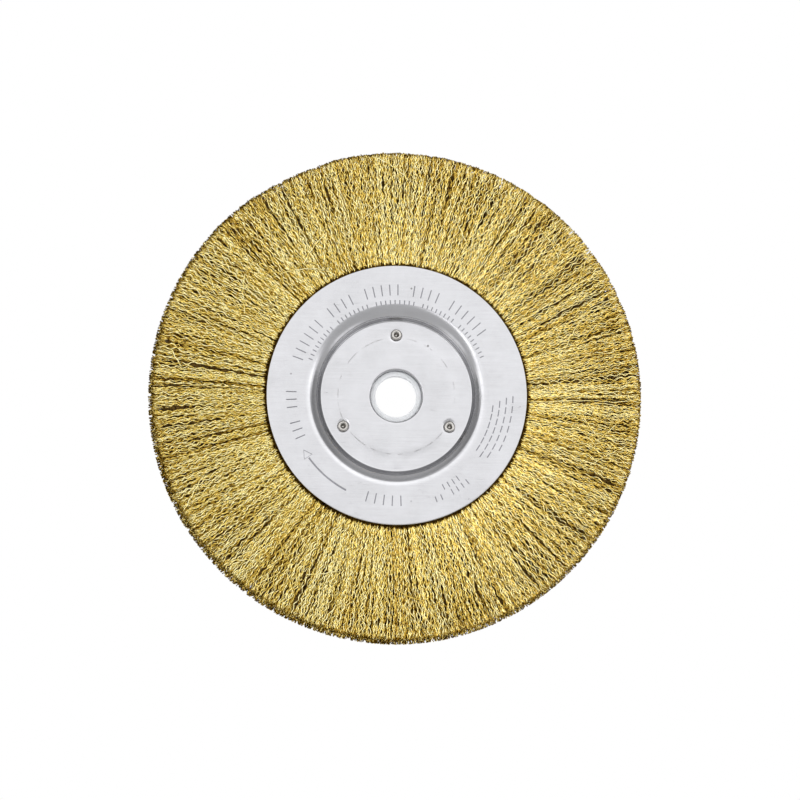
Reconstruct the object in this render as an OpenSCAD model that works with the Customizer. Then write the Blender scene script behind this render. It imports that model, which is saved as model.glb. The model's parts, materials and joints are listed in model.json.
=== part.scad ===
// Crimped wire wheel for a bench grinder, with a push-in reducing bush.
// Millimetres. The axle lies along Y, +Z is up, the marked face looks towards -Y, and the origin is the
// centre of the bore. Each sub-part is modelled lying flat, with its axis along +Z, and on_axle() stands it up.

/* [Brush] */
// Diameter over the trimmed wire tips
brush_d = 152.4; // [150:0.1:156]
// Width of the brush face at the tips
face_w = 19; // [16:0.5:22]
// How much the trimmed rim falls away towards its two edges
crown = 1.7; // [0.8:0.1:2.5]

/* [Side plates] */
// Diameter of the side plates
plate_d = 80; // [76:0.5:84]
// Thickness of the plate steel
plate_t = 1.2; // [1:0.1:1.4]
// Width over the two plates at their outer flanges
plates_w = 14; // [13.5:0.1:15]
// Depth of the round dish in the middle of each plate
dish_depth = 3.6; // [3.2:0.1:3.8]
// Slope of the dish's wall just above its foot, in degrees
dish_slope = 62; // [55:1:66]

/* [Hub] */
// Diameter of the hole in the plates
arbor_d = 15.875; // [15.8:0.005:16]
// Diameter of the hole in the reducing bush
bush_bore_d = 12.7; // [12:0.1:13]
// Width of the reducing bush
bush_w = 3.2; // [2.4:0.1:4]
// Radius of the circle that the rivets stand on
rivet_circle_r = 18.9; // [18.8:0.05:19.2]
// Diameter of the rivets' shanks
rivet_d = 2.4; // [2:0.1:2.5]

/* [Hidden] */
bundle_count = 12;
rivet_count = 3;
fine = 96;

half_w = plates_w / 2;
floor_z = half_w - dish_depth;
inside_z = half_w - plate_t;

// Dish: a tight bend at its foot, then one long bend that rolls out and meets the flange at a slight angle
foot_bend = 0.7;
shoulder_edge_r = 28.15;
shoulder_edge = 8;
shoulder_bend = (dish_depth - foot_bend * (1 - cos(dish_slope))) / (cos(shoulder_edge) - cos(dish_slope));
shoulder_c_r = shoulder_edge_r + shoulder_bend * sin(shoulder_edge);
shoulder_c_z = half_w - shoulder_bend * cos(shoulder_edge);
shoulder_in_edge = acos((inside_z - shoulder_c_z) / (shoulder_bend - plate_t));
foot_c_r = shoulder_c_r - (shoulder_bend + foot_bend) * sin(dish_slope);
plate_edge = 0.25;

// Raised pad round the bore, where the clamping flange seats
pad_rise = 0.25;
pad_r = 18.1;
pad_step = 0.3;
pad_z = floor_z + pad_rise;
pad_inside_z = pad_z - plate_t;
bore_r = arbor_d / 2;
bore_lip = 0.6;
collar_gap = 0.03;

// Dimple that each rivet end sits in
dimple_r = 2.05;
dimple_depth = 0.2;
dimple_z = floor_z - dimple_depth;
dimple_cone_h = 1;
dimple_cone_r = 2.9;
rivet_play = 0.05;

// Rivets: a rolled end in front, a domed head behind
rivet_r = rivet_d / 2;
roll_r = 0.58;
roll_c_r = 1.12;
rivet_hole_r = 0.42;
rivet_hole_depth = 2.6;
head_r = 1.95;
head_h = 0.85;
head_edge_h = 0.25;

// Spacer between the plates, inside the rivets
spacer_in_r = bore_r + plate_t + 0.16;
spacer_out_r = 17.4;

// Reducing bush
bush_play = 0.05;
bush_out_r = bore_r - bush_play;
bush_in_r = bush_bore_d / 2;
bush_edge = 0.25;
bush_bore_edge = 0.2;

// Channel that holds the folded wires, and the ring that they are folded over
channel_in_r = 27.6;
channel_t = 0.7;
channel_out_r = 34;
channel_half_w = inside_z - 0.3;
core_c_r = 30.6;
core_r = 1.5;
core_play = 0.06;

// Wire bundles
bundle_gap_deg = 0.4;
bundle_root_r = channel_in_r + channel_t + 0.1;
throat_play = 0.1;
root_half_w = channel_half_w - channel_t - throat_play;
throat_half_w = inside_z - throat_play;
throat_r = channel_out_r + 0.3;
flare_start_r = plate_d / 2 + 0.2;
flare_end_r = brush_d / 2 - 5;
flare_steps = 7;
rim_steps = 8;
edge_bend = 1.2;

two_digits = function (n) n < 10 ? str("0", n) : str(n);
BUNDLES = [for (i = [1:bundle_count]) str("wire_bundle_", two_digits(i))];
RIVETS = [for (i = [1:rivet_count]) str("rivet_", i)];

// Points along an arc about [r, z], from one angle to another
function bend(r, z, radius, from, to, steps = 6) =
    [for (i = [0:steps]) let (a = from + (to - from) * i / steps) [r + radius * cos(a), z + radius * sin(a)]];

// The same points in the opposite order
function backwards(points) = [for (i = [len(points) - 1:-1:0]) points[i]];

// The same points, mirrored to the other side of the middle plane
function other_side(points) = [for (p = points) [p[0], -p[1]]];

// Stands a sub-part up, so that its own +Z points to the front, along -Y
module on_axle() {
    rotate([90, 0, 0])
    children();
}

// Places its children at each rivet, or at one of them
module at_rivet(i) {
    rotate([0, 0, 90 + 360 / rivet_count * i])
    translate([rivet_circle_r, 0, 0])
    children();
}

// Section of a side plate: collar, pad, dish wall and flange, in one thickness of steel
module plate_section() {
    outer = concat(
        [[bore_r, collar_gap]],
        bend(bore_r + bore_lip, pad_z - bore_lip, bore_lip, 180, 90, 4),
        [[pad_r, pad_z], [pad_r + pad_step, floor_z]],
        bend(foot_c_r, floor_z + foot_bend, foot_bend, -90, dish_slope - 90, 4),
        bend(shoulder_c_r, shoulder_c_z, shoulder_bend, 90 + dish_slope, 90 + shoulder_edge, 7),
        bend(plate_d / 2 - plate_edge, half_w - plate_edge, plate_edge, 90, 0, 3),
        bend(plate_d / 2 - plate_edge, inside_z + plate_edge, plate_edge, 0, -90, 3)
    );
    inner = concat(
        bend(shoulder_c_r, shoulder_c_z, shoulder_bend - plate_t, 90 + shoulder_in_edge, 90 + dish_slope, 6),
        bend(foot_c_r, floor_z + foot_bend, foot_bend + plate_t, dish_slope - 90, -90, 4),
        [
            [pad_r + pad_step, floor_z - plate_t],
            [pad_r, pad_inside_z],
            [bore_r + plate_t, pad_inside_z],
            [bore_r + plate_t, collar_gap]
        ]
    );
    polygon(concat(outer, inner));
}

// A stamped steel side plate, with its rivet dimples and rivet holes
module side_plate() {
    difference() {
        rotate_extrude($fn = fine) plate_section();
        for (i = [0:rivet_count - 1]) at_rivet(i) {
            translate([0, 0, dimple_z])
            cylinder(h = dimple_cone_h, r1 = dimple_r, r2 = dimple_cone_r, $fn = fine);
            cylinder(h = half_w, r = rivet_r + rivet_play, $fn = fine);
        }
    }
}

module front_plate() {
    color("gainsboro") on_axle() side_plate();
}

module rear_plate() {
    color("gainsboro") on_axle() mirror([0, 0, 1]) side_plate();
}

// Steel ring that keeps the plates apart when the rivets pull them together
module hub_spacer() {
    color("silver") on_axle()
    rotate_extrude($fn = fine)
    translate([spacer_in_r, -pad_inside_z])
    square([spacer_out_r - spacer_in_r, 2 * pad_inside_z]);
}

// Section of the reducing bush, with its edges eased
module bush_section() {
    z = bush_w / 2;
    polygon([
        [bush_in_r + bush_bore_edge, -z], [bush_out_r - bush_edge, -z],
        [bush_out_r, -z + bush_edge], [bush_out_r, z - bush_edge],
        [bush_out_r - bush_edge, z], [bush_in_r + bush_bore_edge, z],
        [bush_in_r, z - bush_bore_edge], [bush_in_r, -z + bush_bore_edge]
    ]);
}

// Plastic ring that pushes into the plates and brings the hole down to the smaller spindle
module reducer_bush() {
    color("whitesmoke") on_axle() rotate_extrude($fn = fine) bush_section();
}

// Steel channel, open outwards, that the folded wires are gathered in
module channel_ring() {
    color("dimgray") on_axle()
    rotate_extrude($fn = fine)
    difference() {
        translate([channel_in_r, -channel_half_w])
        square([channel_out_r - channel_in_r, 2 * channel_half_w]);
        translate([channel_in_r + channel_t, channel_t - channel_half_w])
        square([channel_out_r, 2 * (channel_half_w - channel_t)]);
    }
}

// Round steel ring that every wire is folded over
module core_ring() {
    color("dimgray") on_axle()
    rotate_extrude($fn = fine)
    translate([core_c_r, 0])
    circle(r = core_r, $fn = fine);
}

// Section of a rivet: domed head behind, shank, rolled end in front, and the hole down its middle
module rivet_section() {
    head_c = dimple_z + head_edge_h;
    head_top = head_h - head_edge_h;
    dome_r = (head_r * head_r + head_top * head_top) / (2 * head_top);
    dome_half_angle = asin(head_r / dome_r);
    difference() {
        union() {
            translate([0, -dimple_z]) square([rivet_r, 2 * dimple_z + roll_r]);
            translate([0, -head_c]) square([head_r, head_edge_h]);
            translate([0, dome_r - head_top - head_c])
            polygon(concat([[0, 0]], bend(0, 0, dome_r, -90, dome_half_angle - 90, 6), [[0, head_top - dome_r]]));
            translate([roll_c_r, dimple_z + roll_r]) circle(r = roll_r, $fn = fine);
        }
        translate([0, dimple_z + 2 * roll_r - rivet_hole_depth])
        square([rivet_hole_r, rivet_hole_depth]);
    }
}

// A tubular rivet through both plates
module rivet(i) {
    color("lightgray") on_axle()
    at_rivet(i)
    rotate_extrude($fn = fine)
    rivet_section();
}

// Section of the wires: gathered in the channel, pinched by the plates, flaring out to the trimmed rim
module wire_section() {
    rim_r = brush_d / 2;
    half_face = face_w / 2;
    flare = [
        for (i = [0:flare_steps])
        let (t = i / flare_steps)
        [
            flare_start_r + (flare_end_r - flare_start_r) * t,
            throat_half_w + (half_face - throat_half_w) * sin(90 * t)
        ]
    ];
    rim = [
        for (i = [0:rim_steps])
        let (z = (half_face - edge_bend) * (1 - i / rim_steps))
        [rim_r - crown * pow(z / half_face, 2), z]
    ];
    side = concat(
        [[bundle_root_r, root_half_w], [throat_r, root_half_w], [throat_r, throat_half_w]],
        flare,
        bend(rim[0][0] - edge_bend, half_face - edge_bend, edge_bend, 90, 15, 3),
        rim
    );
    difference() {
        polygon(concat(side, backwards(other_side([for (i = [0:len(side) - 2]) side[i]]))));
        translate([core_c_r, 0]) circle(r = core_r + core_play, $fn = fine);
    }
}

// One sector of the brush: a bundle of crimped wires folded over the core ring
module wire_bundle(i) {
    step = 360 / bundle_count;
    color(i % 2 == 0 ? "goldenrod" : "darkgoldenrod") on_axle()
    rotate_extrude(angle = step - bundle_gap_deg, start = step * i + bundle_gap_deg / 2, $fn = fine)
    wire_section();
}

front_plate();
rear_plate();
hub_spacer();
reducer_bush();
channel_ring();
core_ring();
for (i = [0:rivet_count - 1]) rivet(i);
for (i = [0:bundle_count - 1]) wire_bundle(i);
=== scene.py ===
import json
import math

import bmesh
import bpy
import numpy as np
from mathutils import Matrix, Vector


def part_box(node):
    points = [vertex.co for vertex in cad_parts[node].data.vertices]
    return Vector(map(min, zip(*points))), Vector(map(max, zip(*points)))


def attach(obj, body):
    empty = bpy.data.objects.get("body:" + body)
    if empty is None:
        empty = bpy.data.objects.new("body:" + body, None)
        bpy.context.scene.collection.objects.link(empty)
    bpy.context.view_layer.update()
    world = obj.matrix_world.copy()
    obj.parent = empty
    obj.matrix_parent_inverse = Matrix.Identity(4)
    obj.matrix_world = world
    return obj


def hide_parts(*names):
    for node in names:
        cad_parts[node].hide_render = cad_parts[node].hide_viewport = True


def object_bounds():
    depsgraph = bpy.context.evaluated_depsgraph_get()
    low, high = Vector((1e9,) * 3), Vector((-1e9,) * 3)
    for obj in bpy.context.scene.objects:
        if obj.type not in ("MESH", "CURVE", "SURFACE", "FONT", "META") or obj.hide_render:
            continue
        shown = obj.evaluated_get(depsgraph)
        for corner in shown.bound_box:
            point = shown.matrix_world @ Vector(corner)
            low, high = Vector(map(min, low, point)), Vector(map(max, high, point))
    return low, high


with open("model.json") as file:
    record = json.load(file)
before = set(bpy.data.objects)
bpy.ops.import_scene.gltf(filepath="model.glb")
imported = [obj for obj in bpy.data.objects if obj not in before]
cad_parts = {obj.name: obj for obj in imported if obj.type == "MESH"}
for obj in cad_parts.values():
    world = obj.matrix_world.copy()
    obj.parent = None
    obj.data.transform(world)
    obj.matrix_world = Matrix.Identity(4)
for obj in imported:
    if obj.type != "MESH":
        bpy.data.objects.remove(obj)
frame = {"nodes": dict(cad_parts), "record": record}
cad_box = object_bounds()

# ---------------------------------------------------------------------------------------------------------
# Sizes. Metres, in the frame of the wheel: the axle along Y, +Z up, the marked face towards -Y.
# Parts are modelled lying flat, with +Z to the marked face, and stood up at the end.
# ---------------------------------------------------------------------------------------------------------
MM = 0.001
FULL_TURN = 2 * math.pi
STAND_UP = Matrix.Rotation(math.radians(90), 4, "X")

# The wheel as the frame gives it
rim_r = cad_box[1].x
face_half = cad_box[1].y
plate_low, plate_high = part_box("front_plate")
plate_r = plate_high.x
plate_face = -plate_low.y
bush_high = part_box("reducer_bush")[1]
bush_bore_r = frame["record"]["mounts"][0]["dims"]["r_mm"] * MM
rivet_low, rivet_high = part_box("rivet_1")
rivet_circle_r = (rivet_low.z + rivet_high.z) / 2
channel_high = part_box("channel_ring")[1]
BUNDLES = sorted(n for n in frame["nodes"] if n.startswith("wire_bundle"))
RIVETS = sorted(n for n in frame["nodes"] if n.startswith("rivet"))
RIVET_ANGLES = [math.radians(90 + 120 * i) for i in range(len(RIVETS))]

# Side plates: the sheet, its dished wall and its flange
PLATE_T = 1.2 * MM
PLATE_STEPS = 288
PLATE_EDGE = 0.25 * MM
PLATE_EDGE_SEAM = 0.3 * MM
DISH_DEPTH = 3.6 * MM
DISH_SLOPE = math.radians(62)
SHOULDER_EDGE_R = 28.15 * MM
SHOULDER_EDGE = math.radians(8)
SHOULDER_SEAMS = (0.15 * MM, 0.4 * MM, 2 * MM)
FOOT_BEND = 0.7 * MM
DRAW_LINES = 0.03 * MM
DRAW_LINE_PITCH = 0.8 * MM
DRAW_LINE_FADE = 1.5 * MM
BORE_LIP = 0.6 * MM
BUSH_PLAY = 0.05 * MM
COLLAR_END = 0.03 * MM
bore_r = bush_high.x + BUSH_PLAY
floor_z = plate_face - DISH_DEPTH
inside_z = plate_face - PLATE_T
foot_drop = DISH_DEPTH - FOOT_BEND * (1 - math.cos(DISH_SLOPE))
shoulder_bend = foot_drop / (math.cos(SHOULDER_EDGE) - math.cos(DISH_SLOPE))
shoulder_r = SHOULDER_EDGE_R + shoulder_bend * math.sin(SHOULDER_EDGE)
shoulder_z = plate_face - shoulder_bend * math.cos(SHOULDER_EDGE)
foot_r = shoulder_r - (shoulder_bend + FOOT_BEND) * math.sin(DISH_SLOPE)

# Side plates: the relief of the dish floor
PAD_RISE = 0.25 * MM
PAD_R = 18.1 * MM
PAD_SLOPE = (PAD_R - 1.9 * MM, PAD_R + 2.1 * MM)
PAD_SEAMS = (PAD_R - 2 * MM, PAD_R + 2.2 * MM)
PAD_SEAMS_INSIDE = (PAD_R - 0.6 * MM, PAD_R + 0.6 * MM)
RELIEF_ABOVE = 1 * MM
RELIEF_FADE = 0.6 * MM
DIMPLE_R = 2.8 * MM
DIMPLE_DEPTH = 0.24 * MM
BULGE_ANGLES = [math.radians(a) for a in (33, 147, 270)]
BULGE_R = PAD_R + 2.2 * MM
BULGE_RISE = 0.16 * MM
BULGE_WIDTH = 2.2 * MM
BULGE_REACH = 1.9 * MM
RIVET_HOLE_R = 1.25 * MM
RIVET_HOLE_DEPTH = 6 * MM

# Stamped marks. Radial rows: first angle and pitch in degrees, strokes in each group, radius and length
# in mm. Round rows: radius in mm, first and last angle in degrees.
STROKE_WIDTH = 0.36 * MM
RADIAL_ROWS = [(160, 4.4, (6, 4, 5, 4, 6), 32.4, 3.4),
               (158, 2.9, (9, 8, 9, 8, 9), 28.6, 1.3),
               (204, 4.2, (3, 3), 32.4, 3.2),
               (272, 4.6, (5,), 32.6, 3.2),
               (309, 3.1, (4, 2), 34.2, 1.8),
               (306, 3.1, (4,), 31.6, 1.8)]
ROUND_ROWS = [(29.6, 327, 357), (31.6, 325, 360), (33.6, 327, 362), (35.6, 333, 360)]
ROUND_PITCH = 5
ROUND_LENGTH = 2.1 * MM
ARROW_R = 33.3 * MM
ARROW_TIP = math.radians(216)
ARROW_TAIL = math.radians(242)
ARROW_SHAFT = 0.3 * MM
ARROW_HEAD_R = 2 * MM
ARROW_HEAD_DEPTH = 0.5 * MM
ARROW_HEAD_GAP = 0.2 * MM

# Rivets
RIVET_STEPS = 56
ROLL_R = 0.56 * MM
ROLL_CENTRE_R = 1.14 * MM
SHANK_R = 1.2 * MM
SHANK_FLARE = 0.1 * MM
SHANK_NECK = 0.15 * MM
HOLE_R = 0.42 * MM
HOLE_DEPTH = 2.6 * MM
HOLE_CORNER = 0.1 * MM
HOLE_BOTTOM = 0.4 * MM
HEAD_R = 1.95 * MM
HEAD_SINK = 0.2 * MM
HEAD_EDGE = 0.2 * MM
HEAD_SIDE = 0.36 * MM

# Bush
BUSH_STEPS = 160
BUSH_BORE_EDGE = 0.2 * MM
BUSH_RIM_EDGE = 0.25 * MM

# Brush outline
CROWN = 1.7 * MM
FLARE_END_R = rim_r - 5 * MM
THROAT_PLAY = 0.25 * MM
FACE_PLAY = 0.25 * MM
throat_half = inside_z - THROAT_PLAY
WORN_ZONE = math.radians(116)
WORN_ZONE_HALF = 0.17        # radians
WORN_DEPTH = 0.5 * MM

# Wires: each draws its own sizes from these ranges. A depth of 1 is the brush's face and 0 its middle, and
# BOB and HOLLOW_DEPTH are depths too. Crimps are drawn as shares of the plain crimp.
WIRE_R = 0.19 * MM
WIRE_SIDES = 3
WIRE_STEP = 0.8 * MM
FACE_WIRES = {1: 270, -1: 230}
FACE_LAYER = 0.27
DEEP_STEP = 0.35
ROOT_RADII = (38.4 * MM, 39.2 * MM)
RIM_WIRES = 330
RIM_DEPTHS = (-0.76, 0.76)
RIM_LENGTHS = (6 * MM, 9 * MM)
TIP_DEPTH = 0.97
TIP_SCATTER = 0.16 * MM
CRIMP_LENGTH = 3.2 * MM
CRIMP_LENGTHS = (0.68, 1.4)
CRIMP_HEIGHT = 0.4 * MM
CRIMP_HEIGHTS = (0.7, 1.2)
HELD_CRIMP = 0.15
LOOSE_FROM = 2 * MM
LOOSE_OVER = 5 * MM
WANDER = (0.12 * MM, 0.32 * MM)
WANDER_SHORT = (7 * MM, 11 * MM)
WANDER_LONG = (11 * MM, 24 * MM)
LEAN = math.radians(2)
BOB = 0.05
BOB_LENGTHS = (9 * MM, 22 * MM)
HOLLOW_DEPTH = 0.022
FACE_MARGIN = 1.3 * WIRE_R
RIM_MARGIN = 0.8 * WIRE_R

# Wires that have sprung out: turned by so many degrees, and curled by radians per metre
STRAYS = 9
STRAY_RADII = (43 * MM, 66 * MM)
STRAY_LENGTHS = (6 * MM, 14 * MM)
STRAY_TURNS = (20, 65)
STRAY_CURL = 60
STRAY_CRIMP = 0.6 * CRIMP_HEIGHT
STRAY_LIFT = 0.12 * MM
STRAY_MARGIN = 1.5 * WIRE_R
STRAY_END_R = rim_r - 2 * MM

# How wires gather and part. Wide openings: angle in degrees, then radius, reach along the radius and gap
# in mm.
LOCK_PULL = 0.05 * MM
SPLIT_PULL = 0.075 * MM
SWAY_PULL = 0.25 * MM
WIDE_OPENINGS = [(58, 60, 9, 0.45), (64, 55, 7, 0.2), (106, 67, 8, 0.4), (99, 60, 7, 0.25),
                 (192, 58, 12, 0.35), (203, 54, 10, 0.3), (298, 60, 8, 0.12), (346, 60, 9, 0.25),
                 (250, 58, 9, 0.2), (18, 64, 8, 0.3)]
SMALL_OPENINGS = 90
SMALL_RADII = (46 * MM, 72 * MM)
SMALL_REACHES = (3 * MM, 8 * MM)
SMALL_GAPS = (0.04 * MM, 0.16 * MM)
OPENING_RANGE = 7 * MM
OPENING_FADE = 1.4 * MM
OPENING_BEND = 0.5 * MM
OPENING_BEND_LENGTH = 16 * MM

# Tones of the wires: bright on top, and darker underneath, on the tips and beside the plates, which is
# painted shade
TOP_TONE = 0.98
DEPTH_SHADE = 0.88
RIM_TONE = 0.75
STRAY_TONE = 0.9
TONE_SCATTER = 0.24
TIP_SHADE = 0.4
SHADED_TONE = -1
SHADED_R = plate_r + 0.7 * MM

# Packed wires inside the brush
PACKED_STEPS = 180
PACKED_ROOT = 0.3 * MM
PACKED_THROAT = 0.9 * MM
PACKED_UNDER = 2.3 * MM
PACKED_SIDE_END = 4.2 * MM
PACKED_RIM = 3.2 * MM
PACKED_CORNER = 1 * MM

# Studio. Lights: place, with y towards the lit face, then size, power in watts and spread in degrees. The
# camera is tilted off the axle, with these shares of the tilt to the left and below.
FLOOR_R = 2.2
FLOOR_Z = -0.25
SURROUND = [(0.0, 0.2), (0.3, 0.14), (0.5, 0.1), (0.66, 0.82), (0.76, 0.74), (0.84, 0.66), (0.94, 0.63),
            (1.0, 0.6)]
SURROUND_AXIS = Vector((-0.08, 1, -0.13)).normalized()
SURROUND_POWER = 2.75
SKY_LEAN = math.radians(10)
SKY_EDGE = math.cos(math.radians(50))
SKY_POWER = 0.2
LIGHTS = {"left_box": ((-0.8, 0.75, -0.08), (0.5, 0.3), 0.04, 60),
          "right_box": ((0.8, 0.75, -0.08), (0.5, 0.3), 0.04, 60),
          "top_box": ((0.36, 0.85, 0.66), (0.6, 0.5), 0.04, 60),
          "low_box": ((-0.34, 0.85, -0.19), (0.6, 0.1), 0.08, 70),
          "low_left_card": ((-0.2, 0.07, -0.18), (0.1, 0.12), 0.02, 160),
          "low_right_card": ((0.2, 0.07, -0.17), (0.1, 0.12), 0.02, 160)}
CAMERA_TILT = math.radians(7.8)
CAMERA_LEFT = 0.52
CAMERA_LOW = 0.854
CAMERA_DISTANCE = 0.925
CAMERA_AIM = Vector((1.36 * MM, 0, -0.83 * MM))
CAMERA_LENS = 135

rng = np.random.default_rng(7)


# ---------------------------------------------------------------------------------------------------------
# Mesh helpers
# ---------------------------------------------------------------------------------------------------------
def bend(r, z, radius, start, end, steps):
    """Points along an arc about (r, z), between two angles in degrees."""
    angles = np.radians(np.linspace(start, end, steps + 1))
    return [(r + radius * math.cos(a), z + radius * math.sin(a)) for a in angles]


def straight(start, end, steps):
    """Points between two others, without the first."""
    return [tuple(np.array(start) + (np.array(end) - start) * i / steps) for i in range(1, steps + 1)]


def smoothstep(low, high, x):
    """An eased rise from 0 at low to 1 at high."""
    t = min(max((x - low) / (high - low), 0.0), 1.0)
    return t * t * (3 - 2 * t)


def turned(outline, steps, closed=True):
    """A bmesh made by turning an outline of (r, z) points about the axle."""
    bm = bmesh.new()
    verts = [bm.verts.new((r, 0, z)) for r, z in outline]
    pairs = list(zip(verts, verts[1:])) + ([(verts[-1], verts[0])] if closed else [])
    edges = [bm.edges.new(pair) for pair in pairs]
    bmesh.ops.spin(bm, geom=verts + edges, cent=(0, 0, 0), axis=(0, 0, 1), dvec=(0, 0, 0),
                   angle=FULL_TURN, steps=steps, use_merge=True)
    bmesh.ops.remove_doubles(bm, verts=bm.verts, dist=1e-7)
    bmesh.ops.recalc_face_normals(bm, faces=bm.faces)
    return bm


def as_mesh(bm, name):
    """The bmesh as a new mesh."""
    mesh = bpy.data.meshes.new(name)
    bm.to_mesh(mesh)
    bm.free()
    return mesh


def stood_up(bm, sharp_angle):
    """The bmesh stood up on the axle, as a mesh that is smooth but for edges past an angle in degrees."""
    bmesh.ops.transform(bm, matrix=STAND_UP, verts=bm.verts)
    mesh = as_mesh(bm, "part")
    mesh.polygons.foreach_set("use_smooth", [True] * len(mesh.polygons))
    mesh.set_sharp_from_angle(angle=math.radians(sharp_angle))
    return mesh


def in_scene(name, data):
    """A new object, linked into the scene."""
    obj = bpy.data.objects.new(name, data)
    bpy.context.scene.collection.objects.link(obj)
    return obj


def evaluated_mesh(obj):
    """The object's mesh as its modifiers or its curve make it."""
    return bpy.data.meshes.new_from_object(obj.evaluated_get(bpy.context.evaluated_depsgraph_get()))


def piece(name, mesh, body, nodes, material):
    """A finished piece that rides on a body and stands for its CAD nodes."""
    mesh.name = name
    mesh.materials.clear()
    mesh.materials.append(material)
    obj = in_scene(name, mesh)
    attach(obj, body)
    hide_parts(*nodes)


# ---------------------------------------------------------------------------------------------------------
# Node helpers
# ---------------------------------------------------------------------------------------------------------
def add(tree, kind, inputs=None, **settings):
    """A node with its settings; inputs maps a socket name or number to a value or to another socket."""
    node = tree.nodes.new(kind)
    for key, value in settings.items():
        setattr(node, key, value)
    for key, value in (inputs or {}).items():
        if isinstance(value, bpy.types.NodeSocket):
            tree.links.new(value, node.inputs[key])
        else:
            node.inputs[key].default_value = value
    return node


def ramp(tree, factor, stops):
    """A colour ramp of (position, grey or colour) stops."""
    node = add(tree, "ShaderNodeValToRGB", {"Fac": factor})
    elements = node.color_ramp.elements
    while len(elements) < len(stops):
        elements.new(0.5)
    for element, (position, colour) in zip(elements, stops):
        element.position = position
        grey = isinstance(colour, (int, float))
        element.color = (colour, colour, colour, 1) if grey else (*colour, 1)
    return node.outputs["Color"]


def mix(tree, factor, a, b, blend="MIX"):
    """Two colours blended; each is a socket or a plain colour."""
    node = add(tree, "ShaderNodeMix", {0: factor}, data_type="RGBA", blend_type=blend)
    for name, value in (("A", a), ("B", b)):
        socket = [s for s in node.inputs if s.name == name and s.type == "RGBA"][0]
        if isinstance(value, bpy.types.NodeSocket):
            tree.links.new(value, socket)
        else:
            socket.default_value = (*value, 1)
    return [s for s in node.outputs if s.type == "RGBA"][0]


def maths(tree, operation, a, b=0.0, clamp=False):
    """The result of a Math node."""
    return add(tree, "ShaderNodeMath", {0: a, 1: b}, operation=operation, use_clamp=clamp).outputs[0]


def vector_maths(tree, operation, a, b=(0, 0, 0)):
    """The outputs of a Vector Math node."""
    return add(tree, "ShaderNodeVectorMath", {0: a, 1: b}, operation=operation).outputs


def object_place(tree):
    """The place on the piece."""
    return add(tree, "ShaderNodeTexCoord").outputs["Object"]


def noise(tree, place, scale, detail, roughness=0.5):
    """The value of a noise pattern."""
    inputs = {"Vector": place, "Scale": scale, "Detail": detail, "Roughness": roughness}
    return add(tree, "ShaderNodeTexNoise", inputs).outputs["Fac"]


def swing(tree, pattern, amount):
    """A pattern's swing about its middle, times an amount."""
    return maths(tree, "MULTIPLY", maths(tree, "SUBTRACT", pattern, 0.5), amount)


def group(name, inputs, outputs):
    """An empty node group with named sockets: {name: (type, value)} in, {name: type} out."""
    tree = bpy.data.node_groups.new(name, "ShaderNodeTree")
    for key, (kind, value) in inputs.items():
        socket = tree.interface.new_socket(name=key, in_out="INPUT", socket_type=kind)
        socket.default_value = value
    for key, kind in outputs.items():
        tree.interface.new_socket(name=key, in_out="OUTPUT", socket_type=kind)
    return tree, tree.nodes.new("NodeGroupInput").outputs, tree.nodes.new("NodeGroupOutput").inputs


def new_material(name):
    """A material, with its node tree and the sockets of its shader."""
    material = bpy.data.materials.new(name)
    material.use_nodes = True
    tree = material.node_tree
    return material, tree, tree.nodes["Principled BSDF"].inputs


def roughen(tree, shader, strength, distance, height):
    """Fine relief on the shader, from a height that changes over the surface."""
    rise = add(tree, "ShaderNodeBump", {"Strength": strength, "Distance": distance, "Height": height})
    tree.links.new(rise.outputs["Normal"], shader["Normal"])


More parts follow.
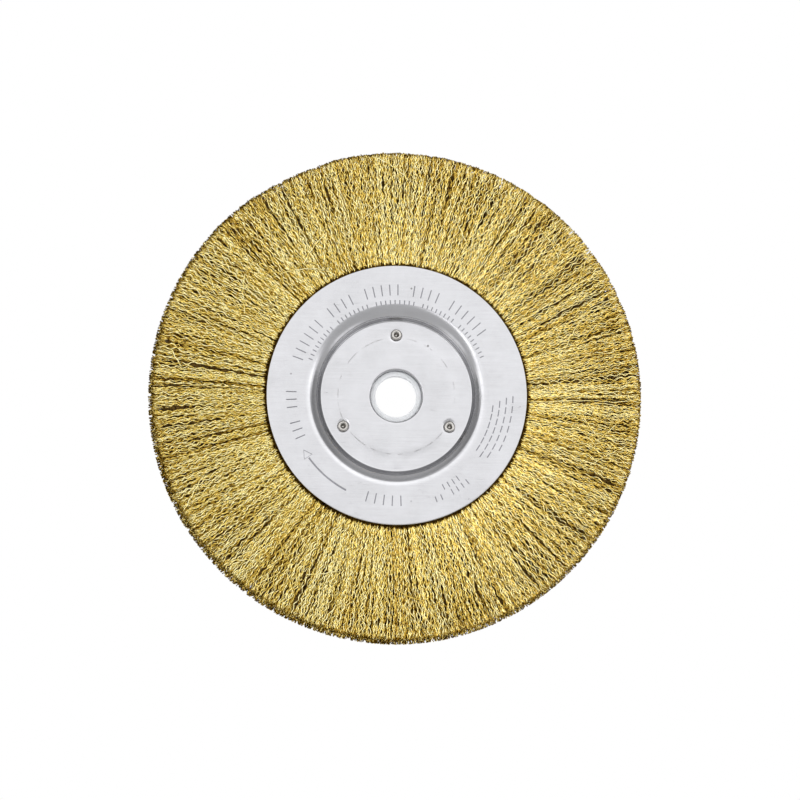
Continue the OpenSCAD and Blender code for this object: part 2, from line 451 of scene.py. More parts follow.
# ---------------------------------------------------------------------------------------------------------
# Finishes
# ---------------------------------------------------------------------------------------------------------
def worn_metal_and_crease_shade_group():
    """Rolled sheet: faint rolling lines, smudges, fine scratches, specks, and a thin broken darker line
    round the hub that is painted shade along the pad's crease.
    """
    tree, given, result = group(
        "worn_metal_and_crease_shade",
        {"Light": ("NodeSocketColor", (0.8, 0.8, 0.8, 1)), "Dull": ("NodeSocketColor", (0.6, 0.6, 0.6, 1)),
         "Roughness": ("NodeSocketFloat", 0.3), "Scratches": ("NodeSocketFloat", 1.0),
         "Ring Radius": ("NodeSocketFloat", 0.018)},
        {"Colour": "NodeSocketColor", "Roughness": "NodeSocketFloat", "Height": "NodeSocketFloat"})
    place = object_place(tree)
    along = add(tree, "ShaderNodeMapping", {"Vector": place, "Scale": (90, 300, 2600)}).outputs[0]
    lines = noise(tree, along, 1.0, 3.0)
    smudge = noise(tree, place, 110.0, 6.0, 0.65)
    tilted = add(tree, "ShaderNodeMapping", {"Vector": place, "Rotation": (0, 0.5, 0),
                                            "Scale": (60, 400, 900)}).outputs[0]
    strands = noise(tree, tilted, 1.0, 1.0)
    near_line = maths(tree, "ABSOLUTE", maths(tree, "SUBTRACT", strands, 0.5))
    scratch = ramp(tree, near_line, [(0.0, 1.0), (0.012, 0.0)])
    patchy = ramp(tree, smudge, [(0.54, 0.0), (0.66, 1.0)])
    scratch = maths(tree, "MULTIPLY", maths(tree, "MULTIPLY", scratch, patchy), given["Scratches"])
    cell = add(tree, "ShaderNodeTexVoronoi", {"Vector": place, "Scale": 190.0}).outputs
    speck = ramp(tree, cell["Distance"], [(0.04, 1.0), (0.075, 0.0)])
    chosen = add(tree, "ShaderNodeSeparateColor", {"Color": cell["Color"]}).outputs["Red"]
    speck = maths(tree, "MULTIPLY", speck, ramp(tree, chosen, [(0.80, 0.0), (0.84, 1.0)]))
    flat = vector_maths(tree, "MULTIPLY", place, (1, 0, 1))[0]
    reach = vector_maths(tree, "LENGTH", flat)["Value"]
    # A thin broken line darkened towards Dull at Ring Radius, where the pad's crease lies: painted shade.
    off_ring = maths(tree, "ABSOLUTE", maths(tree, "SUBTRACT", reach, given["Ring Radius"]))
    ring = add(tree, "ShaderNodeMapRange", {"Value": off_ring, "From Min": 0.00008, "From Max": 0.00026,
                                           "To Min": 1.0, "To Max": 0.0}).outputs[0]
    broken = noise(tree, place, 330.0, 3.0)
    ring = maths(tree, "MULTIPLY", ring, ramp(tree, broken, [(0.47, 0.0), (0.60, 1.0)]))
    wear = ramp(tree, smudge, [(0.30, 0.0), (0.80, 1.0)])
    wear_and_crease_shade = maths(tree, "ADD", maths(tree, "MULTIPLY", wear, 0.3), maths(tree, "MULTIPLY", lines, 0.3))
    wear_and_crease_shade = maths(tree, "ADD", wear_and_crease_shade, maths(tree, "MULTIPLY", scratch, 0.5))
    wear_and_crease_shade = maths(tree, "ADD", wear_and_crease_shade, maths(tree, "MULTIPLY", ring, 0.7), clamp=True)
    colour = mix(tree, wear_and_crease_shade, given["Light"], given["Dull"])
    colour = mix(tree, maths(tree, "MULTIPLY", speck, 0.75), colour, (0.05, 0.045, 0.04))
    tree.links.new(colour, result["Colour"])
    rough = maths(tree, "ADD", given["Roughness"], maths(tree, "MULTIPLY", wear_and_crease_shade, 0.2), clamp=True)
    tree.links.new(rough, result["Roughness"])
    height = maths(tree, "SUBTRACT", maths(tree, "MULTIPLY", lines, 0.4), scratch)
    tree.links.new(maths(tree, "ADD", height, maths(tree, "MULTIPLY", smudge, 1.5)), result["Height"])
    return tree


def metal(name, light, dull, roughness, bump):
    """A metal finish on the worn_metal_and_crease_shade group."""
    material, tree, shader = new_material(name)
    wear = add(tree, "ShaderNodeGroup", node_tree=WORN_METAL_AND_CREASE_SHADE)
    wear.inputs["Light"].default_value = (*light, 1)
    wear.inputs["Dull"].default_value = (*dull, 1)
    wear.inputs["Roughness"].default_value = roughness
    shader["Metallic"].default_value = 1.0
    tree.links.new(wear.outputs["Colour"], shader["Base Color"])
    tree.links.new(wear.outputs["Roughness"], shader["Roughness"])
    roughen(tree, shader, bump, 0.00005, wear.outputs["Height"])
    return material


def brass_wire():
    """Drawn brass wire: each wire has its own tone, lowered as painted shade where it lies deep, at its tip
    and beside the plates, and tarnish with painted crimp glints comes and goes along it.
    """
    material, tree, shader = new_material("brass_wire")
    tone = add(tree, "ShaderNodeAttribute", attribute_name="tone").outputs["Fac"]
    place = object_place(tree)
    # Bright and dark dashes along each wire: tarnish, and painted glints of the crimps.
    apart = add(tree, "ShaderNodeCombineXYZ", {"X": maths(tree, "MULTIPLY", tone, 3.0)}).outputs[0]
    tarnish_and_glints = noise(tree, vector_maths(tree, "ADD", place, apart)[0], 750.0, 1.0)
    patches = noise(tree, place, 60.0, 3.0)
    shift = maths(tree, "ADD", swing(tree, tarnish_and_glints, 2.0), swing(tree, patches, 0.6))
    level = maths(tree, "ADD", tone, shift, clamp=True)
    # The dark end of the ramp gives the painted shade of deep wires, of tips and of wires beside the plates.
    colour = ramp(tree, level, [(0.0, (0.07, 0.035, 0.004)), (0.06, (0.27, 0.135, 0.01)),
                                (0.35, (0.77, 0.53, 0.09)), (0.7, (0.97, 0.78, 0.23)),
                                (1.0, (1.0, 0.91, 0.49))])
    tree.links.new(colour, shader["Base Color"])
    tree.links.new(ramp(tree, level, [(0.0, 0.38), (1.0, 0.13)]), shader["Roughness"])
    shader["Metallic"].default_value = 1.0
    shader["Specular Tint"].default_value = (1.0, 0.86, 0.5, 1)
    return material


def packed_brass_in_shade():
    """The brush's inside, where the wires are too close to tell apart, coloured dark brass as painted shade.
    """
    material, tree, shader = new_material("packed_brass_in_shade")
    grain = noise(tree, object_place(tree), 1400.0, 2.0)
    colour = ramp(tree, grain, [(0.35, (0.02, 0.011, 0.003)), (0.7, (0.18, 0.11, 0.03))])
    tree.links.new(colour, shader["Base Color"])
    shader["Roughness"].default_value = 0.6
    shader["Metallic"].default_value = 1.0
    roughen(tree, shader, 0.8, 0.0003, grain)
    return material


def moulded_nylon():
    """Natural nylon: milky, faintly mottled, with a satin skin."""
    material, tree, shader = new_material("moulded_nylon")
    mottle = noise(tree, object_place(tree), 260.0, 4.0)
    colour = ramp(tree, mottle, [(0.3, (0.64, 0.655, 0.67)), (0.7, (0.76, 0.77, 0.79))])
    tree.links.new(colour, shader["Base Color"])
    tree.links.new(ramp(tree, mottle, [(0.3, 0.42), (0.7, 0.55)]), shader["Roughness"])
    shader["Subsurface Weight"].default_value = 0.25
    shader["Subsurface Radius"].default_value = (0.0015, 0.0015, 0.0015)
    roughen(tree, shader, 0.15, 0.0001, mottle)
    return material


# ---------------------------------------------------------------------------------------------------------
# Side plates
# ---------------------------------------------------------------------------------------------------------
def plate_outline():
    """Section of a side plate: bore lip, dish floor, wall, flange, rounded edge, and back inside."""
    slope = math.degrees(DISH_SLOPE)
    brow = math.degrees(SHOULDER_EDGE)
    inner_bend = shoulder_bend - PLATE_T
    inner_brow = math.degrees(math.acos((inside_z - shoulder_z) / inner_bend))
    edge_r = plate_r - PLATE_EDGE
    collar_r = bore_r + PLATE_T
    seam_in, seam_out = PAD_SEAMS
    outer = [(bore_r, COLLAR_END)]
    outer += bend(bore_r + BORE_LIP, floor_z - BORE_LIP, BORE_LIP, 180, 90, 6)
    outer += straight((bore_r + BORE_LIP, floor_z), (seam_in, floor_z), 12)
    outer += straight((seam_in, floor_z), (seam_out, floor_z), 18)
    outer += straight((seam_out, floor_z), (foot_r, floor_z), 7)
    outer += bend(foot_r, floor_z + FOOT_BEND, FOOT_BEND, -90, slope - 90, 8)[1:]
    wall = bend(shoulder_r, shoulder_z, shoulder_bend, 90 + slope, 90 + brow, 44)[1:]
    for r, z in wall:
        climbed = math.hypot(r - wall[0][0], z - wall[0][1])
        ripple = DRAW_LINES * math.sin(FULL_TURN * climbed / DRAW_LINE_PITCH)
        ripple *= math.exp(-climbed / DRAW_LINE_FADE)
        away = math.atan2(z - shoulder_z, r - shoulder_r)
        outer.append((r + ripple * math.cos(away), z + ripple * math.sin(away)))
    outer += [(SHOULDER_EDGE_R + gap, plate_face) for gap in SHOULDER_SEAMS]
    outer += [(edge_r - PLATE_EDGE_SEAM, plate_face)]
    outer += bend(edge_r, plate_face - PLATE_EDGE, PLATE_EDGE, 90, 0, 5)
    under_z = floor_z - PLATE_T
    seam_in, seam_out = PAD_SEAMS_INSIDE
    inner = bend(edge_r, inside_z + PLATE_EDGE, PLATE_EDGE, 0, -90, 5)
    inner += bend(shoulder_r, shoulder_z, inner_bend, 90 + inner_brow, 90 + slope, 8)
    inner += bend(foot_r, floor_z + FOOT_BEND, FOOT_BEND + PLATE_T, slope - 90, -90, 6)[1:]
    inner += straight((foot_r, under_z), (seam_out, under_z), 6)
    inner += straight((seam_out, under_z), (seam_in, under_z), 6)
    inner += straight((seam_in, under_z), (collar_r, under_z), 8)
    inner += [(collar_r, COLLAR_END)]
    return outer + inner


def hub_relief(x, y):
    """How far the sheet stands above the dish floor: pad, rivet dimples and the soft bulges between them."""
    r = math.hypot(x, y)
    angle = math.atan2(y, x)
    rise = PAD_RISE * (1 - smoothstep(*PAD_SLOPE, r))
    for a in RIVET_ANGLES:
        away = math.hypot(x - rivet_circle_r * math.cos(a), y - rivet_circle_r * math.sin(a))
        if away < DIMPLE_R:
            share = (1 - (away / DIMPLE_R) ** 2) ** 2
            rise = rise * (1 - share) - DIMPLE_DEPTH * share
    for a in BULGE_ANGLES:
        across = r * math.remainder(angle - a, FULL_TURN)
        out = r - BULGE_R
        rise += BULGE_RISE * math.exp(-(across / BULGE_WIDTH) ** 2 - (out / BULGE_REACH) ** 2)
    return rise * (1 - smoothstep(foot_r - RELIEF_FADE, foot_r, r))


def stamp(bm, angle, radius, length, turn=0.0):
    """A V-shaped cutter for one stamped stroke; turn 0 is radial, 90 degrees runs round the plate."""
    depth = STROKE_WIDTH / math.sqrt(2)
    place = (Matrix.Rotation(angle, 4, "Z") @ Matrix.Translation((radius, 0, plate_face))
             @ Matrix.Rotation(turn, 4, "Z") @ Matrix.Rotation(math.radians(45), 4, "X")
             @ Matrix.Diagonal((length, depth, depth, 1)))
    bmesh.ops.create_cube(bm, size=1.0, matrix=place)


def stamp_arrow(bm):
    """A cutter for an arrow that follows the plate round: a V-shaped shaft and a shallow three-sided head.
    They stay apart, because the exact cut fails on cutters that overlap."""
    corners = ((ARROW_SHAFT, 0), (0, ARROW_SHAFT), (-ARROW_SHAFT, 0), (0, -ARROW_SHAFT))
    section = [bm.verts.new((ARROW_R + out, 0, plate_face + up)) for out, up in corners]
    face = bm.faces.new(section)
    bmesh.ops.rotate(bm, verts=section, matrix=Matrix.Rotation(ARROW_TIP, 3, "Z"))
    bmesh.ops.spin(bm, geom=[face] + section + list(face.edges), cent=(0, 0, 0), axis=(0, 0, 1),
                   dvec=(0, 0, 0), angle=ARROW_TAIL - ARROW_TIP, steps=24, use_merge=False)
    ahead = (ARROW_HEAD_R / 2 + ARROW_HEAD_GAP) / ARROW_R
    place = (Matrix.Rotation(ARROW_TIP - ahead, 4, "Z") @ Matrix.Translation((ARROW_R, 0, plate_face))
             @ Matrix.Rotation(math.pi, 4, "Z"))
    bmesh.ops.create_cone(bm, cap_ends=True, segments=3, radius1=ARROW_HEAD_R - ARROW_HEAD_DEPTH,
                          radius2=ARROW_HEAD_R, depth=ARROW_HEAD_DEPTH, matrix=place)


def stamped_groups(bm, start, pitch, groups, radius, length):
    """Groups of plain radial strokes round the plate, with a wider gap after each group."""
    angle = start
    for count in groups:
        for _ in range(count):
            stamp(bm, math.radians(angle), radius, length)
            angle -= pitch
        angle -= pitch


def stamped_marks(bm):
    """Plain strokes where such wheels are marked, and an arrow for the way it turns."""
    for start, pitch, groups, radius, length in RADIAL_ROWS:
        stamped_groups(bm, start, pitch, groups, radius * MM, length * MM)
    for radius, first, last in ROUND_ROWS:
        for angle in range(first, last, ROUND_PITCH):
            stamp(bm, math.radians(angle), radius * MM, ROUND_LENGTH, math.radians(90))
    stamp_arrow(bm)


def with_cuts(mesh, cutters):
    """The mesh after an exact boolean cut."""
    blank = in_scene("blank", mesh)
    tool = in_scene("cutters", cutters)
    cut = blank.modifiers.new("cut", "BOOLEAN")
    cut.operation = "DIFFERENCE"
    cut.solver = "EXACT"
    cut.object = tool
    result = evaluated_mesh(blank)
    bpy.data.objects.remove(blank)
    bpy.data.objects.remove(tool)
    return result


def side_plate(name, node, front):
    """A stamped plate: turned, dimpled, then cut for its rivets and, in front, for its marks."""
    bm = turned(plate_outline(), PLATE_STEPS)
    for v in bm.verts:
        if RELIEF_ABOVE < v.co.z and math.hypot(v.co.x, v.co.y) < foot_r:
            v.co.z += hub_relief(v.co.x, v.co.y)
    tools = bmesh.new()
    for a in RIVET_ANGLES:
        place = Matrix.Translation((rivet_circle_r * math.cos(a), rivet_circle_r * math.sin(a), floor_z))
        bmesh.ops.create_cone(tools, cap_ends=True, segments=32, radius1=RIVET_HOLE_R,
                              radius2=RIVET_HOLE_R, depth=RIVET_HOLE_DEPTH, matrix=place)
    if front:
        stamped_marks(tools)
    bmesh.ops.recalc_face_normals(tools, faces=tools.faces)
    mesh = with_cuts(as_mesh(bm, "blank"), as_mesh(tools, "cutters"))
    bm = bmesh.new()
    bm.from_mesh(mesh)
    if not front:
        bmesh.ops.scale(bm, vec=(1, 1, -1), verts=bm.verts)
        bmesh.ops.recalc_face_normals(bm, faces=bm.faces)
    piece(name, stood_up(bm, 28), "wheel", [node], SATIN_STEEL)


# ---------------------------------------------------------------------------------------------------------
# Rivets and bush
# ---------------------------------------------------------------------------------------------------------
def rivet_outline(top, back):
    """Section of a tubular rivet: rolled rim, funnel and hole in front, low domed head behind."""
    roll_z = top - ROLL_R
    seat = roll_z - ROLL_R * 0.9
    hole_z = top - HOLE_DEPTH
    head_seat = -(floor_z - HEAD_SINK)
    dome_rise = back + head_seat - HEAD_SIDE
    outline = [(0, hole_z), (HOLE_R * 0.8, hole_z + HOLE_CORNER), (HOLE_R, hole_z + HOLE_BOTTOM)]
    outline += bend(ROLL_CENTRE_R, roll_z, ROLL_R, 205, -80, 16)
    outline += [(SHANK_R, seat - SHANK_NECK), (SHANK_R, head_seat + SHANK_FLARE),
                (SHANK_R + SHANK_FLARE, head_seat)]
    outline += bend(HEAD_R - HEAD_EDGE, head_seat - HEAD_EDGE, HEAD_EDGE, 90, -30, 5)
    outline += [(HEAD_R * 0.9 * math.cos(t), head_seat - HEAD_SIDE - dome_rise * math.sin(t))
                for t in np.radians(np.linspace(15, 90, 8))[:-1]]
    return outline + [(0, -back)]


def rivet(name, angle):
    """A rivet whose rolled rim is a little uneven."""
    bm = turned(rivet_outline(-rivet_low.y, rivet_high.y), RIVET_STEPS, closed=False)
    for v in bm.verts:
        if v.co.z > floor_z and math.hypot(v.co.x, v.co.y) > HOLE_R * 1.2:
            turn = math.atan2(v.co.y, v.co.x)
            uneven = 0.02 * math.sin(3 * turn + 5 * angle) + 0.012 * math.sin(7 * turn + angle)
            v.co.x *= 1 + uneven
            v.co.y *= 1 + uneven
    place = Matrix.Translation((rivet_circle_r * math.cos(angle), rivet_circle_r * math.sin(angle), 0))
    bmesh.ops.transform(bm, matrix=place, verts=bm.verts)
    piece(name + "_rolled", stood_up(bm, 40), "wheel", [name], RIVET_STEEL)


def reducer_bush():
    """The nylon ring, with its moulded edges eased."""
    half = bush_high.y
    edges = bend(bush_bore_r + BUSH_BORE_EDGE, half - BUSH_BORE_EDGE, BUSH_BORE_EDGE, 180, 90, 4)
    edges += bend(bush_high.x - BUSH_RIM_EDGE, half - BUSH_RIM_EDGE, BUSH_RIM_EDGE, 90, 0, 5)
    bm = turned(edges + [(r, -z) for r, z in reversed(edges)], BUSH_STEPS)
    piece("reducer_bush_moulded", stood_up(bm, 35), "bush", ["reducer_bush"], NYLON)


# ---------------------------------------------------------------------------------------------------------
# Brush
# ---------------------------------------------------------------------------------------------------------
def any_angle():
    """A random angle."""
    return rng.uniform(0, FULL_TURN)


def waves(count, turns, radial, layered):
    """Random waves round the wheel: whole turns, radians per metre outwards, start, and shift with depth."""
    return [(int(rng.integers(*turns)), rng.normal(0, radial), any_angle(), rng.normal(0, layered))
            for _ in range(count)]


LOCKS = waves(14, (45, 190), 420, 4)
SPLITS = waves(5, (14, 42), 160, 2)
SWAYS = waves(4, (3, 12), 40, 0.5)
HOLLOWS = waves(8, (24, 120), 330, 1)
OPENINGS = [(math.radians(at), centre * MM, reach * MM, gap * MM, any_angle())
            for at, centre, reach, gap in WIDE_OPENINGS]
OPENINGS += [(any_angle(), rng.uniform(*SMALL_RADII), rng.uniform(*SMALL_REACHES),
              rng.uniform(*SMALL_GAPS), any_angle()) for _ in range(SMALL_OPENINGS)]


def half_width(r):
    """Half the width of the brush at a radius: pinched by the plates, flaring out to the face."""
    t = np.clip((r - plate_r) / (FLARE_END_R - plate_r), 0, 1)
    return throat_half + (face_half - FACE_PLAY - throat_half) * np.sin(t * math.pi / 2)


def summed(field, angle, depth, r):
    """The sum of a field's waves."""
    return sum(np.cos(turns * angle + radial * r + start + layered * depth)
               for turns, radial, start, layered in field)


def gathered(angle, depth, r, out):
    """Sideways drift of a wire, so that wires gather in locks and part at the openings."""
    drift = summed(LOCKS, angle, depth, r) * LOCK_PULL
    drift = drift + summed(SPLITS, angle, depth, r) * SPLIT_PULL
    drift = drift + summed(SWAYS, angle, depth, r) * SWAY_PULL
    for at, centre, reach, gap, start in OPENINGS:
        across = math.remainder(angle - at, FULL_TURN) * centre
        if abs(across) < OPENING_RANGE:
            across = across + OPENING_BEND * np.sin(FULL_TURN * r / OPENING_BEND_LENGTH + start)
            pushed = np.sign(across) * gap * np.exp(-np.abs(across) / OPENING_FADE)
            drift = drift + pushed * np.exp(-((r - centre) / reach) ** 2)
    return drift * out ** 1.2


def round_wheel(angle, r, side):
    """x and y of points on the spoke at an angle: r along it, and side across it."""
    return r * math.cos(angle) - side * math.sin(angle), r * math.sin(angle) + side * math.cos(angle)


def wire_points(angle, depth, start_r, spacing, phase, plane):
    """Points of one crimped wire, in the wheel's frame. depth runs from -1, the back face, to 1, the front.
    phase is where its crimp starts, and plane is the angle that the crimp is turned to."""
    tip_r = rim_r - CROWN * (depth * TIP_DEPTH) ** 2 - abs(rng.normal(0, TIP_SCATTER))
    off_worn = math.remainder(angle - WORN_ZONE, FULL_TURN) / WORN_ZONE_HALF
    tip_r -= WORN_DEPTH * math.exp(-off_worn ** 4)
    count = max(3, int(round((tip_r - start_r) / spacing)) + 1)
    r = np.linspace(start_r, tip_r, count)
    out = np.clip((r - plate_r) / (rim_r - plate_r), 0, 1)
    loose = np.clip((r - plate_r + LOOSE_FROM) / LOOSE_OVER, HELD_CRIMP, 1)
    crimp = CRIMP_HEIGHT * rng.uniform(*CRIMP_HEIGHTS) * loose
    wave = crimp * np.sin(FULL_TURN * r / (CRIMP_LENGTH * rng.uniform(*CRIMP_LENGTHS)) + phase)
    wander = sum(rng.uniform(*WANDER) * np.sin(FULL_TURN * r / length + any_angle())
                 for length in rng.uniform(*zip(WANDER_SHORT, WANDER_LONG)))
    lean = rng.normal(0, LEAN)
    side = wave * math.cos(plane) + gathered(angle, depth, r, out)
    side = side + (wander + lean * (r - plate_r)) * out ** 0.4
    bob = BOB * np.sin(FULL_TURN * r / rng.uniform(*BOB_LENGTHS) + any_angle())
    sunk = HOLLOW_DEPTH * (2 + summed(HOLLOWS, angle, 0, r)).clip(0, None) * out
    level = np.clip(abs(depth) + bob * out - sunk, 0, 1) * math.copysign(1, depth)
    z = level * (half_width(r) - CRIMP_HEIGHT * abs(math.sin(plane)) * loose) + wave * math.sin(plane)
    z = np.clip(z, FACE_MARGIN - face_half, face_half - FACE_MARGIN)
    x, y = round_wheel(angle, r, side)
    trimmed = np.minimum(1, (rim_r - RIM_MARGIN) / np.hypot(x, y))
    return np.stack([x * trimmed, -z, y * trimmed], axis=1)


def stray_points(angle, front):
    """A short bent wire that has sprung out and lies across the others."""
    start_r = rng.uniform(*STRAY_RADII)
    length = rng.uniform(*STRAY_LENGTHS)
    turn = rng.choice((-1, 1)) * math.radians(rng.uniform(*STRAY_TURNS))
    curl = rng.uniform(-STRAY_CURL, STRAY_CURL)
    along = np.linspace(0, length, int(length / WIRE_STEP) + 2)
    heading = turn + curl * along
    r = start_r + np.cumsum(np.cos(heading)) * along[1]
    side = np.cumsum(np.sin(heading)) * along[1]
    kept = r < STRAY_END_R
    r, side = r[kept], side[kept]
    side = side + STRAY_CRIMP * np.sin(FULL_TURN * np.arange(len(r)) * WIRE_STEP / CRIMP_LENGTH)
    z = front * np.minimum(half_width(r) + STRAY_LIFT, face_half - STRAY_MARGIN)
    x, y = round_wheel(angle, r, side)
    return np.stack([x, -z, y], axis=1)


def wires_of_bundle(centre, half_angle):
    """Points and tones of a bundle's wires: both faces, the ends that fill the rim, and a few strays."""
    rows = []
    tones = []
    for front, count in FACE_WIRES.items():
        for i in range(count):
            under = (i / count) ** 1.2
            rows.append(wire_points(
                centre + rng.uniform(-half_angle, half_angle), front * (1 - FACE_LAYER * under),
                rng.uniform(*ROOT_RADII), WIRE_STEP * (1 + DEEP_STEP * under), any_angle(),
                rng.uniform(0, math.pi)))
            # Deeper wires get a lower tone: painted shade.
            tones.append(TOP_TONE - DEPTH_SHADE * under)
    for _ in range(RIM_WIRES):
        rows.append(wire_points(
            centre + rng.uniform(-half_angle, half_angle), rng.uniform(*RIM_DEPTHS),
            rim_r - rng.uniform(*RIM_LENGTHS), WIRE_STEP, any_angle(), rng.uniform(0, math.pi)))
        tones.append(RIM_TONE)
    for _ in range(STRAYS):
        rows.append(stray_points(centre + rng.uniform(-half_angle, half_angle), rng.choice((-1, 1))))
        tones.append(STRAY_TONE)
    kept = [i for i, row in enumerate(rows) if len(row) > 3]
    return [rows[i] for i in kept], np.array([tones[i] for i in kept])


def wire_section():
    """The section that gives each wire its thickness."""
    curve = bpy.data.curves.new("wire_section", "CURVE")
    curve.dimensions = "2D"
    spline = curve.splines.new("POLY")
    spline.points.add(WIRE_SIDES - 1)
    for i, point in enumerate(spline.points):
        a = FULL_TURN * i / WIRE_SIDES
        point.co = (WIRE_R * math.cos(a), WIRE_R * math.sin(a), 0, 1)
    spline.use_cyclic_u = True
    return in_scene("wire_section", curve)


def drawn_wires(rows, section):
    """One mesh of closed wires along rows of points."""
    curve = bpy.data.curves.new("wires", "CURVE")
    curve.dimensions = "3D"
    curve.bevel_mode = "OBJECT"
    curve.bevel_object = section
    curve.use_fill_caps = True
    for row in rows:
        spline = curve.splines.new("POLY")
        spline.points.add(len(row) - 1)
        spline.points.foreach_set("co", np.c_[row, np.ones(len(row))].ravel())
        spline.use_smooth = True
    obj = in_scene("wires", curve)
    mesh = evaluated_mesh(obj)
    bpy.data.objects.remove(obj)
    bpy.data.curves.remove(curve)
    return mesh


def toned(mesh, rows, tones):
    """The wires' tones, as an attribute, with painted shade on the tips and painted shadow beside the
    plates. The mesh holds the corners of all the end caps, then all the tubes, and each cap is joined to its
    tube afterwards."""
    tones = (tones + rng.normal(0, TONE_SCATTER, len(rows))).clip(0, 1)
    corners = [WIRE_SIDES * len(row) for row in rows]
    ends = np.repeat(tones, 2 * WIRE_SIDES)
    tubes = np.repeat(tones, corners)
    tips = np.cumsum(corners)
    # The last ring of each tube is darkened: painted shade on the wire tips.
    for i in range(1, WIRE_SIDES + 1):
        tubes[tips - i] = (tones - TIP_SHADE).clip(0, 1)
    # Points just outside the plates' edge get the darkest tone: a painted shadow where the wires leave the
    # plates.
    points = np.concatenate(rows)
    shaded = np.hypot(points[:, 0], points[:, 2]) < SHADED_R
    tubes[np.repeat(shaded, WIRE_SIDES)] = SHADED_TONE
    layer = mesh.attributes.new("tone", "FLOAT", "POINT")
    layer.data.foreach_set("value", np.concatenate([ends, tubes]).astype(np.float32))
    bm = bmesh.new()
    bm.from_mesh(mesh)
    bmesh.ops.remove_doubles(bm, verts=[v for v in bm.verts if v.is_boundary], dist=1e-7)
    bm.to_mesh(mesh)
    bm.free()
    return mesh


def wire_bundle(node, centre, half_angle, section):
    """One bundle of crimped wires in place of its CAD node."""
    rows, tones = wires_of_bundle(centre, half_angle)
    mesh = toned(drawn_wires(rows, section), rows, tones)
    piece(node.replace("wire_bundle", "crimped_wires"), mesh, "wheel", [node], BRASS)


def packed_outline():
    """Section of the close-packed wires inside the brush, from the channel to just under the surface."""
    radii = np.linspace(plate_r, rim_r - PACKED_SIDE_END, 14)
    side = [(channel_high.x + PACKED_ROOT, throat_half - PACKED_THROAT)]
    for i, r in enumerate(radii):
        side.append((r, float(half_width(r)) - PACKED_UNDER * (0.6 + 0.4 * i / (len(radii) - 1))))
    corner = side[-1][1] - PACKED_CORNER
    rim = [(rim_r - PACKED_RIM - CROWN * (z / face_half) ** 2, z) for z in np.linspace(corner, -corner, 12)]
    return side + rim + [(r, -z) for r, z in reversed(side)]


def packed_wires():
    """The body of the brush behind its outer wires, dark with painted shade."""
    mesh = stood_up(turned(packed_outline(), PACKED_STEPS), 40)
    piece("packed_wires", mesh, "wheel", BUNDLES, PACKED_BRASS_IN_SHADE)


# ---------------------------------------------------------------------------------------------------------
# Build
# ---------------------------------------------------------------------------------------------------------
WORN_METAL_AND_CREASE_SHADE = worn_metal_and_crease_shade_group()
SATIN_STEEL = metal("satin_steel", (0.495, 0.495, 0.515), (0.31, 0.31, 0.315), 0.15, 0.3)
RIVET_STEEL = metal("rivet_steel", (0.47, 0.455, 0.44), (0.25, 0.235, 0.21), 0.16, 0.2)
INNER_STEEL = metal("inner_steel", (0.42, 0.42, 0.42), (0.25, 0.24, 0.23), 0.4, 0.3)
BRASS = brass_wire()
PACKED_BRASS_IN_SHADE = packed_brass_in_shade()
NYLON = moulded_nylon()

side_plate("front_plate_stamped", "front_plate", True)
side_plate("rear_plate_stamped", "rear_plate", False)
for rivet_name, rivet_angle in zip(RIVETS, RIVET_ANGLES):
    rivet(rivet_name, rivet_angle)
reducer_bush()
for inner in ("hub_spacer", "channel_ring", "core_ring"):
    for material_slot in frame["nodes"][inner].material_slots:
        material_slot.material = INNER_STEEL

section = wire_section()
step = FULL_TURN / len(BUNDLES)
for index, bundle in enumerate(BUNDLES):
    wire_bundle(bundle, step * (index + 0.5), step / 2, section)
bpy.data.objects.remove(section)
packed_wires()


# ---------------------------------------------------------------------------------------------------------
# Floor, light and camera
# ---------------------------------------------------------------------------------------------------------
def stage_floor():
    """A plain pale floor, well below the wheel."""
    bm = bmesh.new()
    bmesh.ops.create_circle(bm, cap_ends=True, segments=96, radius=FLOOR_R,
                            matrix=Matrix.Translation((0, 0, FLOOR_Z)))
    floor = in_scene("floor", as_mesh(bm, "floor"))
    material, tree, shader = new_material("floor_paper")
    tint = noise(tree, object_place(tree), 3.0, 2.0)
    tree.links.new(ramp(tree, tint, [(0.3, 0.86), (0.7, 0.90)]), shader["Base Color"])
    shader["Roughness"].default_value = 0.9
    floor.data.materials.append(material)


def soft_light(name, place, size, power, spread):
    """A soft box or a card of light, aimed at the wheel and unseen itself."""
    light = bpy.data.lights.new(name, "AREA")
    light.shape = "RECTANGLE"
    light.size, light.size_y = size
    light.energy = power
    light.spread = math.radians(spread)
    obj = in_scene(name, light)
    obj.location = place
    obj.rotation_mode = "QUATERNION"
    obj.rotation_quaternion = Vector(place).to_track_quat("Z", "Y")
    obj.visible_camera = False


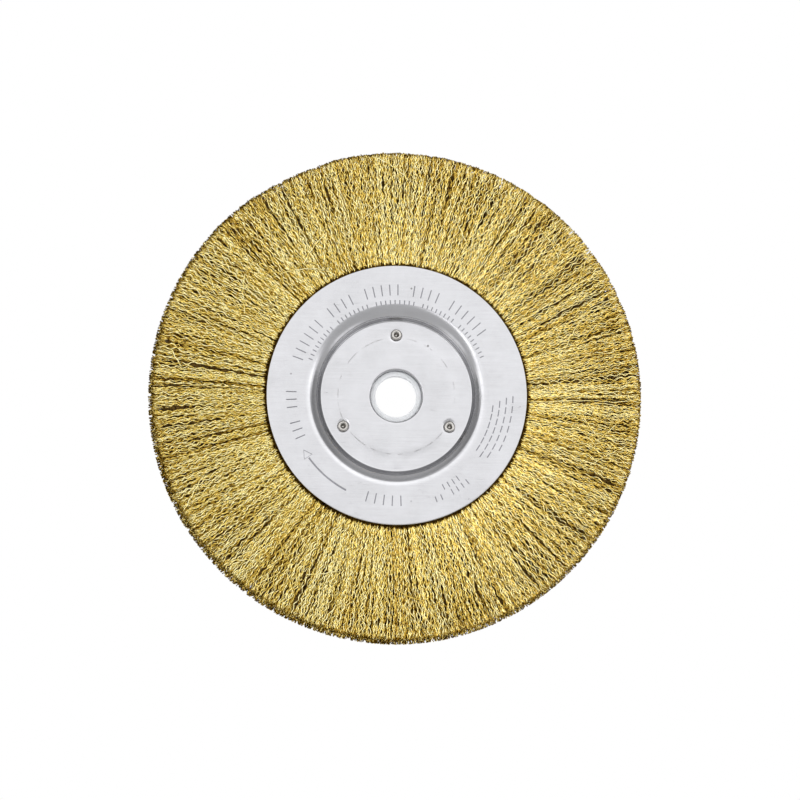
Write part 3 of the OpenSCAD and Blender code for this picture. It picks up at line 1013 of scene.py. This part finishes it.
def white_surround():
    """A white studio: bright in front and behind, dim round the sides, pure white to the eye."""
    world = bpy.data.worlds.new("studio")
    bpy.context.scene.world = world
    world.use_nodes = True
    tree = world.node_tree
    background = tree.nodes["Background"].inputs
    direction = add(tree, "ShaderNodeTexCoord").outputs["Generated"]
    parts = add(tree, "ShaderNodeSeparateXYZ", {"Vector": direction}).outputs
    folded_y = maths(tree, "ABSOLUTE", parts["Y"])
    folded = add(tree, "ShaderNodeCombineXYZ", {"X": parts["X"], "Y": folded_y, "Z": parts["Z"]}).outputs[0]
    along = vector_maths(tree, "DOT_PRODUCT", folded, SURROUND_AXIS)["Value"]
    glow = mix(tree, 1.0, ramp(tree, along, SURROUND), (SURROUND_POWER,) * 3, "MULTIPLY")
    overhead = (0, math.sin(SKY_LEAN), math.cos(SKY_LEAN))
    near = vector_maths(tree, "DOT_PRODUCT", folded, overhead)["Value"]
    sky = add(tree, "ShaderNodeMapRange", {"Value": near, "From Min": SKY_EDGE, "To Max": SKY_POWER},
              interpolation_type="SMOOTHSTEP").outputs[0]
    glow = mix(tree, 1.0, glow, sky, "ADD")
    seen = add(tree, "ShaderNodeLightPath").outputs["Is Camera Ray"]
    tree.links.new(mix(tree, seen, glow, (1, 1, 1)), background["Color"])
    background["Strength"].default_value = 1.0


def front_camera():
    """Square on to the marked face but from slightly below and to the left."""
    off_axis = math.sin(CAMERA_TILT)
    back = Vector((-CAMERA_LEFT * off_axis, -math.cos(CAMERA_TILT), -CAMERA_LOW * off_axis)).normalized()
    data = bpy.data.cameras.new("camera")
    data.sensor_width = 36
    data.lens = CAMERA_LENS
    data.clip_start = 0.01
    data.clip_end = 20
    camera = in_scene("camera", data)
    camera.location = CAMERA_AIM + back * CAMERA_DISTANCE
    camera.rotation_mode = "QUATERNION"
    camera.rotation_quaternion = (-back).to_track_quat("-Z", "Y")
    bpy.context.scene.camera = camera


stage_floor()
white_surround()
for side, word in ((-1, "front"), (1, "back")):
    for name, ((x, y, z), size, power, spread) in LIGHTS.items():
        soft_light(f"{word}_{name}", (x, y * side, z), size, power, spread)
front_camera()
bpy.context.scene.view_settings.view_transform = "Standard"
